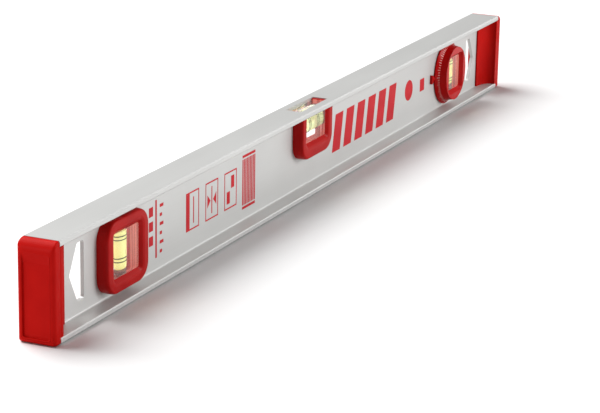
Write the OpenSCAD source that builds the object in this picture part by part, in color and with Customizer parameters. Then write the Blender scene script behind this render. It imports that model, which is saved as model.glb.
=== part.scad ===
// Spirit level, 600 mm: an I-section aluminium beam with red end caps, a plumb vial on the left,
// a level vial that is also read through the top flange, and a dial that turns a third vial.
// X runs along the length, -Y is the front, Z is up. The origin is the middle of the base.

/* [Overall] */
// Length over the end caps
level_len = 600; // [480:1:1200]
// Width of the beam section, front to back
level_w = 20; // [16.5:0.1:26]
// Height of the beam section
level_h = 50; // [45:0.1:64]

/* [Beam section] */
// Thickness of the web
web_t = 2; // [1.4:0.1:3]
// Thickness of a flange at its outer edge
flange_edge_t = 3; // [2.2:0.1:4]
// Thickness of a flange beside the web fillet
flange_root_t = 3.4; // [2.4:0.1:4.4]
// Radius of the fillet between web and flange
root_fillet_r = 1; // [0.4:0.1:1.4]
// Chamfer on the outer edges of the flanges
flange_chamfer = 0.7; // [0.2:0.1:1]
// Chamfer on the inner edges of the flanges
flange_inner_chamfer = 0.5; // [0.2:0.1:0.8]

/* [End caps] */
// Thickness of the plate that covers the end of the beam
cap_plate_t = 6; // [4:0.5:10]
// Radius of the cap's outer top edge
cap_top_r = 5.5; // [3:0.5:8]
// Radius of the cap's other outer edges
cap_edge_r = 1.6; // [0.5:0.1:2]
// How far the plug reaches between the flanges
cap_plug_len = 17; // [12:0.5:24]
// Width of the plug's rim that is flush with the flanges
cap_rim_w = 2.5; // [1.5:0.1:4]
// Thickness of the plug's thin end above the web
cap_toe_t = 1.1; // [0.6:0.1:2]
// Gap between the plug and the beam
cap_gap = 0.1; // [0.05:0.05:0.3]
// Depth of the panel sunk in the cap's end face
cap_panel_depth = 0.7; // [0.3:0.1:1.2]
// Width of the border round that panel
cap_panel_border = 2.9; // [2:0.1:4]

/* [Hang holes] */
// Distance from the beam's end to the hole's straight inner side
hang_hole_inset = 37; // [32:0.5:60]
// Width of the hole along the beam, to its point
hang_hole_w = 14; // [8:0.5:16]
// Width of the hole's straight top and bottom
hang_hole_flat = 6.5; // [4:0.5:7]
// Height of the hole
hang_hole_h = 29; // [20:0.5:30]
// Corner radius of the hole
hang_hole_r = 1.6; // [0.5:0.1:2]

/* [Vials] */
// Wall between the fluid and the flat faces of a clear vial block
vial_wall = 0.9; // [0.6:0.1:1.6]
// How much narrower the barrel-shaped bore is at its ends
barrel_drop = 0.12; // [0.05:0.01:0.2]
// Wall beyond the closed end of the bore
vial_end_wall = 2; // [0.8:0.1:3]
// Length of the plug that seals the bore
vial_plug_len = 4.6; // [4:0.1:8]
// Height of air over the fluid in an upright vial
vial_air_h = 1.6; // [1:0.1:3]
// Length of the bubble in the level vial
bubble_len = 9; // [7:0.1:11]
// Radius of the bubble in the level vial
bubble_r = 2.4; // [1.8:0.1:3]
// Distance from the middle of the bore to the inner ring
ring_inner_y = 4.7; // [4:0.1:5.5]
// Distance between the inner and the outer ring of a pair
ring_pitch = 1.8; // [1.5:0.1:2]
// Width of a ring
ring_w = 0.5; // [0.3:0.05:0.8]
// Thickness of a ring
ring_t = 0.25; // [0.15:0.05:0.4]

/* [Vial housings] */
// How far the plumb and level housings sit behind the flange edge
housing_recess = 2.6; // [1.2:0.1:4]
// Radius of a housing's front edge
housing_edge_r = 2; // [0.5:0.1:2.5]
// Width of the shallow lead-in round a window
lead_in_w = 1.4; // [0.5:0.1:2]
// Depth of that lead-in
lead_in_d = 0.35; // [0.1:0.05:0.8]
// How far a vial block's face sits behind the front of its housing
window_depth = 1.9; // [1.2:0.1:3]
// Width of the steep bevel round a window
window_bevel = 1.9; // [1:0.1:3]
// Corner radius of a window at the foot of that bevel
window_r = 1.1; // [0.6:0.1:3]
// Thickness of the collar that passes through the web
collar_wall = 1.7; // [1:0.1:2.5]
// Clearance between a housing's collar and the web's cutout
cutout_gap = 0.15; // [0.05:0.05:0.4]
// Clearance between a vial block and the sides of its pocket
pocket_gap = 0.1; // [0.05:0.05:0.3]
// How far a vial block reaches behind the bevel at the sides
block_overlap_w = 1.7; // [1:0.1:3]
// How far a vial block reaches behind the bevel above and below
block_overlap_h = 2.5; // [1.5:0.1:3]
// Corner radius of a vial block
block_r = 1.5; // [0.8:0.1:2]
// Distance of the plumb vial and the dial above mid-height
unit_rise = 0.3; // [0:0.1:1]

/* [Plumb vial unit] */
// Distance from the level's left end to the middle of the plumb vial
plumb_from_end = 75.8; // [70:0.5:150]
// Width of the plumb housing
plumb_w = 41.8; // [34:0.1:51]
// Gap between the plumb housing and each flange
plumb_flange_gap = 2.9; // [1.5:0.1:6]
// Corner radius of the plumb housing
plumb_r = 10; // [4:0.5:12]
// From the side of the plumb housing to its window
plumb_strip_w = 6.2; // [5:0.1:8]
// From the top or bottom of the plumb housing to its window
plumb_strip_h = 5.4; // [4.5:0.1:7]

/* [Level vial unit] */
// How far the level housing covers the web on each side of its collar
centre_cover = 2.55; // [1.5:0.05:5]
// Height of the level housing
centre_h = 24.6; // [22:0.1:30]
// Radius of the level housing's lower corners
centre_r = 9.5; // [4:0.5:11]
// From the side of the level housing to its window
centre_strip_w = 5.5; // [4.5:0.1:7]
// From the bottom of the level housing to its window
centre_sill = 7.5; // [6:0.1:9]
// Depth of clear block between the top flange and the level vial's bore
centre_roof = 2.2; // [1:0.1:3]
// Length of the level vial's plug, and of the solid end opposite it
centre_plug_len = 3.2; // [2:0.1:5]
// Length of the window in the top flange
top_window_l = 36.8; // [30:0.1:46]
// Width of the window in the top flange
top_window_w = 9.2; // [7:0.1:10]
// Thickness of the housing's end wall in the top flange window
top_lip_t = 2.1; // [1.2:0.1:3]
// How far the end walls stop below the top face
top_lip_drop = 0.5; // [0.2:0.1:1.5]
// How far the vial block stops below the top face
top_block_drop = 1.6; // [1:0.1:3]

/* [Dial] */
// Distance from the level's right end to the dial's axis
dial_from_end = 81.2; // [75:0.5:150]
// Gap between the dial's rim and each flange
dial_flange_gap = 0.5; // [0.3:0.1:2]
// How far the dial's face sits behind the flange edge
dial_recess = 1.2; // [0.6:0.1:2]
// Gap between the dial's rim and the web
dial_web_gap = 0.35; // [0.3:0.05:0.8]
// Radial width of the scale's sloping band
dial_band_w = 2.6; // [2:0.1:4]
// Height of the rim's outer edge
dial_rim_t = 0.8; // [0.5:0.1:1.5]
// Height that the scale's band climbs
dial_band_rise = 1.9; // [1:0.1:2.5]
// Draft of the dial's raised middle
dial_draft = 0.8; // [0.3:0.1:1.5]
// Radius of the edge of the dial's face
dial_edge_r = 0.9; // [0.4:0.1:1.2]
// Width of the bevel round the dial's window
dial_bevel = 2.3; // [1.5:0.1:3]
// Step from the raised middle in to the hub that turns in the web
hub_step = 0.6; // [0.3:0.1:1]
// Radial running clearance between the hub and its bearing ring
hub_clearance = 0.08; // [0.05:0.01:0.1]
// Radial thickness of the bearing ring in the web
bearing_t = 1.3; // [0.8:0.1:1.8]
// Thickness of the rubber ring that gives the dial its friction
friction_ring_d = 1; // [0.8:0.1:1.2]
// Least wall between the dial's vial block and the hub's surface
hub_wall = 1.4; // [1:0.1:2]
// How far the dial's vial block sits behind the dial's face
dial_window_depth = 2.5; // [1.5:0.1:3.5]
// How far the dial's vial block reaches behind the bevel
dial_overlap = 1.3; // [0.8:0.1:2]
// Corner radius of the dial's vial block
dial_block_r = 2; // [1:0.1:3]

/* [Pointers] */
// Height of a pointer
pointer_h = 5.8; // [4:0.1:8]
// Length of a pointer
pointer_l = 5.2; // [4:0.1:8]
// Width of the bar at the pointer's tail
pointer_bar_w = 1.5; // [1:0.1:2.5]
// How far a pointer stands off the web
pointer_t = 1.8; // [1:0.1:3]
// Gap between the pointer's tip and the dial's rim
pointer_gap = 1.2; // [0.5:0.1:3]
// Diameter of the peg that holds a pointer in the web
peg_d = 2.4; // [1.6:0.1:3]
// Radial clearance round the peg
peg_clearance = 0.05; // [0.02:0.01:0.2]

/* [Hidden] */
$fn = 64;

aluminium = [0.8, 0.8, 0.8];
cap_red = [0.75, 0.1, 0.1];
housing_red = [0.7, 0.12, 0.12];
dial_red = [0.5, 0.04, 0.06];
acrylic = [0.9, 0.9, 0.88, 0.35];
fluid_green = [0.88, 0.9, 0.45, 0.8];
ring_black = [0.1, 0.1, 0.1];
plug_grey = [0.65, 0.5, 0.48];
rubber_black = [0.08, 0.08, 0.08];

through = 200;              // length of a cut that passes right through
cut_margin = 0.05;          // how far a cut runs past the face that it opens
joint_overlap = 0.5;        // how far two parts of one solid run into each other
corner_steps = 6;
edge_steps = 4;
barrel_steps = 12;
cove_steps = 14;
small_r = 0.4;              // radius of a corner that is nearly sharp

// Beam
web_y = web_t / 2;
edge_y = level_w / 2;
beam_end = level_len / 2 - cap_plate_t;
clear_h = level_h - 2 * flange_root_t;
unit_z = level_h / 2 + unit_rise;

// All vials
housing_front = edge_y - housing_recess;
block_face = housing_front - window_depth;
bore_r = block_face - vial_wall;
bore_end_r = bore_r - barrel_drop;
ring_r = bore_end_r - ring_t;

// Plumb vial unit
plumb_x = plumb_from_end - level_len / 2;
plumb_h = clear_h - 2 * plumb_flange_gap;
plumb_window = [plumb_w - 2 * plumb_strip_w, plumb_h - 2 * plumb_strip_h];
plumb_block = plumb_window + 2 * [block_overlap_w - window_bevel, block_overlap_h - window_bevel];
plumb_bore_low = vial_plug_len - plumb_block[1] / 2;
plumb_bore_high = plumb_block[1] / 2 - vial_end_wall;

// Level vial unit
centre_top = level_h - flange_root_t - root_fillet_r - cutout_gap;
centre_bottom = centre_top - centre_h;
centre_collar_w = top_window_l - 2 * cutout_gap;
centre_w = centre_collar_w + 2 * centre_cover;
centre_window_w = centre_w - 2 * centre_strip_w;
centre_window_low = centre_bottom + centre_sill;
centre_pocket_w = centre_collar_w - 2 * top_lip_t;
centre_block_w = centre_pocket_w - 2 * pocket_gap;
centre_block_low = centre_window_low + window_bevel - block_overlap_h;
centre_block_shoulder = level_h - flange_root_t - cutout_gap;
centre_neck_t = top_window_w - 2 * cutout_gap;
centre_vial_z = level_h - flange_root_t - centre_roof - bore_r;
centre_bore_high = centre_block_w / 2 - centre_plug_len;

// Dial
dial_x = level_len / 2 - dial_from_end;
dial_r = clear_h / 2 - unit_rise - dial_flange_gap;
boss_r = dial_r - dial_band_w;
hub_r = boss_r - hub_step;
bearing_r = hub_r + hub_clearance;
web_bore_r = bearing_r + bearing_t;
dial_face = edge_y - dial_recess;
dial_back = web_y + dial_web_gap;
dial_block_face = dial_face - dial_window_depth;
dial_block_w = 2 * ((hub_r - hub_wall - dial_block_r) / sqrt(2) + dial_block_r - pocket_gap);
dial_window_w = dial_block_w + 2 * (dial_bevel - dial_overlap);
dial_bore_low = vial_plug_len - dial_block_w / 2;
dial_bore_high = dial_block_w / 2 - vial_end_wall;
rim_chamfer = dial_rim_t / 2;
friction_r = friction_ring_d / 2;
friction_mid_r = hub_r + hub_clearance / 2 - friction_r;
friction_groove_r = friction_mid_r - friction_r;

// Pointers
pointer_tip_x = dial_x - dial_r - pointer_gap;
pointer_peg_x = pointer_tip_x - pointer_l * 0.6;

// Points of a corner at p, between a and b, rounded to radius r
function unit(v) = v / norm(v);
function corner_arc(a, p, b, r) =
    let (
        u = unit(a - p),
        v = unit(b - p),
        half = acos(u * v) / 2,
        middle = p + unit(u + v) * r / sin(half),
        first = p + u * r / tan(half) - middle,
        last = p + v * r / tan(half) - middle,
        start = atan2(first[1], first[0]),
        turn = (atan2(last[1], last[0]) - start + 540) % 360 - 180
    )
    [for (i = [0 : corner_steps]) middle + r * [
        cos(start + turn * i / corner_steps),
        sin(start + turn * i / corner_steps)
    ]];

// An outline whose corners are rounded, each to its own radius
function rounded(points, radii) =
    let (n = len(points))
    [for (i = [0 : n - 1]) each corner_arc(points[(i + n - 1) % n], points[i], points[(i + 1) % n], radii[i])];

function box_points(low, high) = [low, [high[0], low[1]], high, [low[0], high[1]]];
function rounded_box(size, r) = rounded(box_points(-size / 2, size / 2), [r, r, r, r]);

// A housing outline that is round below and nearly square above
function u_outline(w, low, high, r) = rounded(box_points([-w / 2, low], [w / 2, high]), [r, r, small_r, small_r]);

// Section of the hollow between the flanges, from the web out to the flange edge, shrunk by a gap
function hollow_points(gap) =
    let (wall = web_y + gap, low = flange_root_t + gap, high = level_h - low, r = root_fillet_r)
    concat(
        [[edge_y, flange_edge_t + gap]],
        [for (i = [0 : corner_steps]) let (a = 270 - 90 * i / corner_steps)
            [wall + r + r * cos(a), low + r + r * sin(a)]],
        [for (i = [0 : corner_steps]) let (a = 180 - 90 * i / corner_steps)
            [wall + r + r * cos(a), high - r + r * sin(a)]],
        [[edge_y, level_h - flange_edge_t - gap]]
    );

// Turns a shape drawn in X and Y so that it faces the front at the given place
module facing_front(x, z) {
    translate([x, 0, z]) rotate([90, 0, 0]) children();
}

// Extrudes a section drawn in Y and Z along X
module along_beam(from_x, to_x) {
    translate([from_x, 0, 0]) rotate([90, 0, 90]) linear_extrude(to_x - from_x) children();
}

module rear() {
    mirror([0, 1, 0]) children();
}

// A solid through outlines with equally many points, each at its own height
module loft(outlines, heights) {
    n = len(outlines[0]);
    last = len(outlines) - 1;
    polyhedron(
        points = [for (k = [0 : last], p = outlines[k]) [p[0], p[1], heights[k]]],
        faces = concat(
            [[for (i = [0 : n - 1]) i]],
            [for (k = [0 : last - 1], i = [0 : n - 1]) let (j = (i + 1) % n)
                [k * n + i, (k + 1) * n + i, (k + 1) * n + j, k * n + j]],
            [[for (i = [n - 1 : -1 : 0]) last * n + i]]
        )
    );
}

// ---- Beam ----

module beam_section() {
    difference() {
        polygon([for (s = [[-1, 0], [1, 0], [1, 1], [-1, 1]]) each let (
            corner = [s[0] * edge_y, s[1] * level_h],
            up = [0, (1 - 2 * s[1]) * flange_chamfer],
            in = [-s[0] * flange_chamfer, 0]
        ) (s[0] < 0) == (s[1] == 0) ? [corner + up, corner + in] : [corner + in, corner + up]]);
        for (side = [0, 1]) mirror([side, 0]) {
            polygon(hollow_points(0));
            flange_edge_flare();
        }
    }
}

// The hollow's mouth, which chamfers the inner edges of both flanges
module flange_edge_flare() {
    c = flange_inner_chamfer;
    polygon([
        [edge_y - c, flange_edge_t],
        [edge_y + c, flange_edge_t - 2 * c],
        [edge_y + c, level_h - flange_edge_t + 2 * c],
        [edge_y - c, level_h - flange_edge_t]
    ]);
}

module hang_hole() {
    half_h = hang_hole_h / 2;
    facing_front(beam_end - hang_hole_inset, level_h / 2)
        linear_extrude(through, center = true)
            polygon(rounded([
                [0, -half_h],
                [hang_hole_flat, -half_h],
                [hang_hole_w, 0],
                [hang_hole_flat, half_h],
                [0, half_h]
            ], [for (i = [0 : 4]) hang_hole_r]));
}

module beam() {
    color(aluminium)
    difference() {
        along_beam(-beam_end, beam_end) beam_section();
        hang_hole();
        mirror([1, 0, 0]) hang_hole();
        facing_front(plumb_x, unit_z)
            linear_extrude(through, center = true) polygon(collar_outline(cutout_gap));
        facing_front(0, 0)
            linear_extrude(2 * web_t, center = true)
                polygon(centre_collar_outline(cutout_gap, level_h));
        translate([-top_window_l / 2, -top_window_w / 2, centre_top])
            cube([top_window_l, top_window_w, level_h]);
        facing_front(dial_x, unit_z)
            cylinder(h = 4 * web_t, r = web_bore_r, center = true);
        facing_front(pointer_peg_x, unit_z)
            cylinder(h = 4 * web_t, d = peg_d + 2 * peg_clearance, center = true);
    }
}

// ---- End caps ----

module cap_plate() {
    outer = level_len / 2;
    intersection() {
        rotate([90, 0, 0]) linear_extrude(through, center = true)
            polygon(rounded(
                box_points([beam_end, 0], [outer, level_h]),
                [small_r, cap_edge_r, cap_top_r, small_r]));
        linear_extrude(through, center = true)
            polygon(rounded(
                box_points([beam_end, -edge_y], [outer, edge_y]),
                [small_r, cap_edge_r, cap_edge_r, small_r]));
        along_beam(beam_end - cut_margin, outer + cut_margin)
            translate([0, level_h / 2]) polygon(rounded_box([level_w, level_h], flange_chamfer));
    }
}

// Plan outline of the plug on one side of the web, with its coved face
function plug_plan() =
    let (
        toe_x = beam_end - cap_plug_len,
        reach = cap_plug_len - cap_rim_w,
        depth = edge_y - web_y - cap_toe_t
    )
    concat(
        [[toe_x, 0], [beam_end + joint_overlap, 0], [beam_end + joint_overlap, edge_y]],
        [for (i = [0 : cove_steps]) let (a = 90 * i / cove_steps)
            [toe_x + reach * cos(a), edge_y - depth * sin(a)]]
    );

module cap_plug() {
    intersection() {
        linear_extrude(level_h) polygon(plug_plan());
        along_beam(beam_end - cap_plug_len, beam_end + cap_plate_t) polygon(hollow_points(cap_gap));
    }
}

module cap_panel() {
    half_w = edge_y - cap_panel_border;
    top = level_h - cap_top_r - small_r;
    along_beam(level_len / 2 - cap_panel_depth, level_len)
        polygon(rounded(
            box_points([-half_w, cap_panel_border + small_r], [half_w, top]),
            [for (i = [0 : 3]) cap_panel_depth]));
}

module end_cap() {
    color(cap_red)
    difference() {
        union() {
            cap_plate();
            cap_plug();
            rear() cap_plug();
        }
        cap_panel();
    }
}

module right_end_cap() {
    end_cap();
}

module left_end_cap() {
    mirror([1, 0, 0]) end_cap();
}

// ---- Vials: drawn upright along Y, with the plug below ----

function barrel_radius(t) = bore_r - barrel_drop * (2 * t - 1) * (2 * t - 1);

module barrel(low, high) {
    rotate([-90, 0, 0]) rotate_extrude()
        polygon(concat(
            [[0, low]],
            [for (i = [0 : barrel_steps]) let (t = i / barrel_steps) [barrel_radius(t), low + t * (high - low)]],
            [[0, high]]
        ));
}

module upright_cylinder(low, high, r) {
    translate([0, low, 0]) rotate([-90, 0, 0]) cylinder(h = high - low, r = r);
}

module vial_bore(low, high, open_end) {
    barrel(low, high);
    upright_cylinder(open_end - joint_overlap, low + joint_overlap, bore_end_r);
}

module vial_rings(low, high) {
    middle = (low + high) / 2;
    color(ring_black)
    for (side = [-1, 1], offset_y = [ring_inner_y, ring_inner_y + ring_pitch])
        difference() {
            intersection() {
                barrel(low, high);
                translate([0, middle + side * offset_y, 0])
                    cube([4 * bore_r, ring_w, 4 * bore_r], center = true);
            }
            upright_cylinder(low, high, ring_r);
        }
}

module vial_plug(low, open_end) {
    color(plug_grey) upright_cylinder(open_end, low, bore_end_r);
}

// Fluid of an upright vial, with the air above it
module upright_fluid(low, high) {
    color(fluid_green)
    difference() {
        barrel(low, high);
        vial_rings(low, high);
        upright_cylinder(high - vial_air_h, high + joint_overlap, bore_r + joint_overlap);
    }
}

// ---- Housings: drawn facing +Z, for the front half ----

function edge_inset(i) = housing_edge_r * (1 - cos(90 * i / edge_steps));
function edge_height(i) = housing_front - housing_edge_r * (1 - sin(90 * i / edge_steps));

// A housing's plate with a rounded front edge, from its outlines at each step of that edge
module crowned(outlines) {
    loft(
        concat([outlines[0]], outlines),
        concat([web_y], [for (i = [0 : edge_steps]) edge_height(i)])
    );
}

// A window: the block's seat, a steep bevel and a shallow lead-in
module window_cut(bevelled, edge, led) {
    loft(
        [bevelled, edge, led, led],
        [block_face - cut_margin, housing_front - lead_in_d, housing_front, housing_front + cut_margin]
    );
}

function collar_outline(gap) =
    rounded_box(
        plumb_block + 2 * (pocket_gap + collar_wall + gap) * [1, 1],
        block_r + collar_wall
    );

// The plumb window's outline, grown by a margin
function plumb_window_outline(grow) =
    rounded_box(plumb_window + 2 * grow * [1, 1], window_r + window_bevel + grow);

module plumb_half() {
    color(housing_red)
    difference() {
        union() {
            crowned([for (i = [0 : edge_steps]) let (inset = edge_inset(i))
                rounded_box([plumb_w, plumb_h] - 2 * inset * [1, 1], plumb_r - inset)]);
            linear_extrude(web_y + joint_overlap) polygon(collar_outline(0));
        }
        translate([0, 0, -joint_overlap])
            linear_extrude(block_face + joint_overlap)
                polygon(rounded_box(plumb_block + 2 * pocket_gap * [1, 1], block_r));
        window_cut(
            plumb_window_outline(-window_bevel),
            plumb_window_outline(0),
            plumb_window_outline(lead_in_w)
        );
    }
}

module plumb_front_frame() {
    facing_front(plumb_x, unit_z) plumb_half();
}

module plumb_rear_frame() {
    rear() plumb_front_frame();
}

module plumb_vial_block() {
    color(acrylic)
    facing_front(plumb_x, unit_z)
        difference() {
            translate([0, 0, -block_face]) linear_extrude(2 * block_face) polygon(rounded_box(plumb_block, block_r));
            vial_bore(plumb_bore_low, plumb_bore_high, -plumb_block[1] / 2);
        }
}

module plumb_vial_plug() {
    facing_front(plumb_x, unit_z) vial_plug(plumb_bore_low, -plumb_block[1] / 2);
}

module plumb_vial_fluid() {
    facing_front(plumb_x, unit_z) upright_fluid(plumb_bore_low, plumb_bore_high);
}

module plumb_vial_rings() {
    facing_front(plumb_x, unit_z) vial_rings(plumb_bore_low, plumb_bore_high);
}

// ---- Level vial unit ----

function centre_collar_outline(gap, top) =
    box_points(
        [-centre_collar_w / 2 - gap, centre_block_low - pocket_gap - collar_wall - gap],
        [centre_collar_w / 2 + gap, top]
    );

// The level window's outline, grown by a margin, open at the top
function centre_window(grow) =
    u_outline(centre_window_w + 2 * grow, centre_window_low - grow, level_h, window_r + window_bevel + grow);

module centre_half() {
    color(housing_red)
    difference() {
        union() {
            crowned([for (i = [0 : edge_steps]) let (inset = edge_inset(i))
                u_outline(centre_w - 2 * inset, centre_bottom + inset, centre_top, centre_r - inset)]);
            linear_extrude(web_y + joint_overlap) polygon(centre_collar_outline(0, centre_top));
            linear_extrude(centre_neck_t / 2)
                polygon(box_points(
                    [-centre_collar_w / 2, centre_top - joint_overlap],
                    [centre_collar_w / 2, level_h - top_lip_drop]));
        }
        translate([0, 0, -joint_overlap])
            linear_extrude(block_face + joint_overlap)
                polygon(box_points(
                    [-centre_pocket_w / 2, centre_block_low - pocket_gap],
                    [centre_pocket_w / 2, level_h]));
        linear_extrude(centre_neck_t)
            polygon(box_points([-centre_pocket_w / 2, centre_top], [centre_pocket_w / 2, level_h]));
        window_cut(
            centre_window(-window_bevel),
            centre_window(0),
            centre_window(lead_in_w)
        );
    }
}

module centre_front_frame() {
    facing_front(0, 0) centre_half();
}

module centre_rear_frame() {
    rear() centre_front_frame();
}

// Places an upright vial on its side at the level vial's height, with its plug on the right
module lying_vial() {
    facing_front(0, centre_vial_z) rotate([0, 0, 90]) children();
}

module centre_vial_block() {
    half_w = centre_block_w / 2;
    color(acrylic)
    difference() {
        union() {
            facing_front(0, 0)
                translate([0, 0, -block_face])
                    linear_extrude(2 * block_face)
                        polygon(rounded(
                            box_points([-half_w, centre_block_low], [half_w, centre_block_shoulder]),
                            [block_r, block_r, small_r, small_r]));
            translate([-half_w, -centre_neck_t / 2, centre_block_shoulder - joint_overlap])
                cube([centre_block_w, centre_neck_t, flange_root_t - top_block_drop + joint_overlap]);
        }
        lying_vial() vial_bore(-centre_bore_high, centre_bore_high, -half_w);
    }
}

module centre_vial_plug() {
    lying_vial() vial_plug(-centre_bore_high, -centre_block_w / 2);
}

module centre_vial_rings() {
    lying_vial() vial_rings(-centre_bore_high, centre_bore_high);
}

// The bubble lies against the top of the bore, midway between the rings
module level_bubble() {
    half = bubble_len / 2 - bubble_r;
    translate([0, 0, centre_vial_z + bore_r - bubble_r + cut_margin]) {
        rotate([0, 90, 0]) cylinder(h = 2 * half, r = bubble_r, center = true);
        for (side = [-1, 1]) translate([side * half, 0, 0]) sphere(r = bubble_r);
    }
}

module centre_vial_fluid() {
    color(fluid_green)
    difference() {
        lying_vial() barrel(-centre_bore_high, centre_bore_high);
        centre_vial_rings();
        level_bubble();
    }
}

// ---- Dial ----

module dial_bearing_ring() {
    color(dial_red)
    facing_front(dial_x, unit_z)
        difference() {
            cylinder(h = web_t, r = web_bore_r, center = true);
            cylinder(h = 2 * web_t, r = bearing_r, center = true);
        }
}

module dial_friction_ring() {
    color(rubber_black)
    facing_front(dial_x, unit_z)
        rotate_extrude() translate([friction_mid_r, 0]) circle(r = friction_r);
}

// Half section of a dial shell: hub, rim, sloping scale band and raised middle
function dial_profile() =
    let (
        groove_z = friction_r + pocket_gap / 2,
        rim_top = dial_back + dial_rim_t,
        band_foot = [dial_r - rim_chamfer, rim_top + rim_chamfer],
        face_r = boss_r - dial_draft - dial_edge_r
    )
    concat(
        [
            [0, 0], [friction_groove_r, 0], [friction_groove_r, groove_z], [hub_r, groove_z],
            [hub_r, dial_back], [dial_r - rim_chamfer, dial_back], [dial_r, dial_back + rim_chamfer],
            [dial_r, rim_top], band_foot,
            [boss_r, band_foot[1] + dial_band_rise]
        ],
        [for (i = [0 : edge_steps]) let (a = 90 * i / edge_steps)
            [face_r + dial_edge_r * cos(a), dial_face - dial_edge_r + dial_edge_r * sin(a)]],
        [[0, dial_face]]
    );

function dial_window(grow) =
    rounded_box((dial_window_w + 2 * grow) * [1, 1], dial_bevel + dial_block_r + grow);

module dial_half() {
    color(dial_red)
    difference() {
        rotate_extrude() polygon(dial_profile());
        translate([0, 0, -joint_overlap])
            linear_extrude(dial_block_face + joint_overlap)
                polygon(rounded_box((dial_block_w + 2 * pocket_gap) * [1, 1], dial_block_r));
        loft(
            [dial_window(-dial_bevel), dial_window(0), dial_window(0)],
            [dial_block_face - cut_margin, dial_face, dial_face + cut_margin]
        );
    }
}

module dial_front_shell() {
    facing_front(dial_x, unit_z) dial_half();
}

module dial_rear_shell() {
    rear() dial_front_shell();
}

module dial_vial_block() {
    color(acrylic)
    facing_front(dial_x, unit_z)
        difference() {
            translate([0, 0, -dial_block_face])
                linear_extrude(2 * dial_block_face) polygon(rounded_box(dial_block_w * [1, 1], dial_block_r));
            vial_bore(dial_bore_low, dial_bore_high, -dial_block_w / 2);
        }
}

module dial_vial_plug() {
    facing_front(dial_x, unit_z) vial_plug(dial_bore_low, -dial_block_w / 2);
}

module dial_vial_fluid() {
    facing_front(dial_x, unit_z) upright_fluid(dial_bore_low, dial_bore_high);
}

module dial_vial_rings() {
    facing_front(dial_x, unit_z) vial_rings(dial_bore_low, dial_bore_high);
}

// ---- Pointers ----

module front_pointer() {
    half_h = pointer_h / 2;
    tail = -pointer_l;
    shoulder = tail + pointer_bar_w;
    color(housing_red) {
        facing_front(pointer_tip_x, unit_z)
            translate([0, 0, web_y]) linear_extrude(pointer_t)
                polygon([[tail, -half_h], [shoulder, -half_h], [0, 0], [shoulder, half_h], [tail, half_h]]);
        facing_front(pointer_peg_x, unit_z)
            cylinder(h = web_y + joint_overlap, d = peg_d);
    }
}

module rear_pointer() {
    rear() front_pointer();
}

beam();
left_end_cap();
right_end_cap();
plumb_front_frame();
plumb_rear_frame();
plumb_vial_block();
plumb_vial_plug();
plumb_vial_fluid();
plumb_vial_rings();
centre_front_frame();
centre_rear_frame();
centre_vial_block();
centre_vial_plug();
centre_vial_fluid();
centre_vial_rings();
dial_bearing_ring();
dial_friction_ring();
dial_front_shell();
dial_rear_shell();
dial_vial_block();
dial_vial_plug();
dial_vial_fluid();
dial_vial_rings();
front_pointer();
rear_pointer();
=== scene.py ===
import math

import bmesh
import bpy
from mathutils import Matrix, Vector


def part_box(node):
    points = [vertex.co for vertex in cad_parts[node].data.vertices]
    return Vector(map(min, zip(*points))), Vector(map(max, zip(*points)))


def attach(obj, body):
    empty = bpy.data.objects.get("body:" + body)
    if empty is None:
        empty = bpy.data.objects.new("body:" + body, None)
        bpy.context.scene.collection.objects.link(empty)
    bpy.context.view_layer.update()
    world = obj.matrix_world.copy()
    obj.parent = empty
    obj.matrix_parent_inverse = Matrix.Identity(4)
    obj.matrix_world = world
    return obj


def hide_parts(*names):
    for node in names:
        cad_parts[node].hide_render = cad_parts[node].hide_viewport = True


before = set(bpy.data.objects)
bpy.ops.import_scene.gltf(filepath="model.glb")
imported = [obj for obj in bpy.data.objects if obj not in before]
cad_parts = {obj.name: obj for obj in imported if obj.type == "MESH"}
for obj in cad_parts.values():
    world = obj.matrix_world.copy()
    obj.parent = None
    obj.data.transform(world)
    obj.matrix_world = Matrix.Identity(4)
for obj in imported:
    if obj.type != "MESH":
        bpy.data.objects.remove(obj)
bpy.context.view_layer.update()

# Lengths are in millimetres and become metres where a vertex is made. The floor, the lights and the
# camera are in metres.
MM = 0.001
LEVEL = "level"
DIAL = "dial"
FRONT = -1
REAR = 1
SHARP_ANGLE = math.radians(32)
CORNER_STEPS = 10
SOFT_STEPS = 5
SOFT_LIMIT = 0.45      # largest share of a section's side that a softened corner takes
PAINTED_GLOW_REACH = 0.3     # how far outside the clear block a face still belongs to its pocket, and gets the painted glow
SEAT_W = 0.02          # how far a half stays from the middle plane, where the other half begins


# ---- Places taken from the CAD frame ----

def span(node):
    """Lowest and highest corner of a CAD node, in millimetres."""
    low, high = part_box(node)
    return Vector(low) / MM, Vector(high) / MM


# ---- Outlines and sections ----

def arc(centre_x, centre_z, radius, start, turn=90, steps=CORNER_STEPS):
    """Points of a round corner, from the start angle, in degrees."""
    points = []
    for i in range(steps + 1):
        angle = math.radians(start + turn * i / steps)
        points.append((centre_x + radius * math.cos(angle), centre_z + radius * math.sin(angle)))
    return points


def rounded_box(half_w, half_h, radius, x=0.0, z=0.0):
    """Outline of a rectangle with round corners about x, z."""
    inner_w, inner_h = half_w - radius, half_h - radius
    return (arc(x + inner_w, z + inner_h, radius, 0) + arc(x - inner_w, z + inner_h, radius, 90)
            + arc(x - inner_w, z - inner_h, radius, 180) + arc(x + inner_w, z - inner_h, radius, 270))


def u_path(half_w, low, radius, top):
    """Open path down the left leg, round the bottom and up the right leg."""
    inner = half_w - radius
    return ([(-half_w, top)] + arc(-inner, low + radius, radius, 180)
            + arc(inner, low + radius, radius, 270) + [(half_w, top)])


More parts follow.
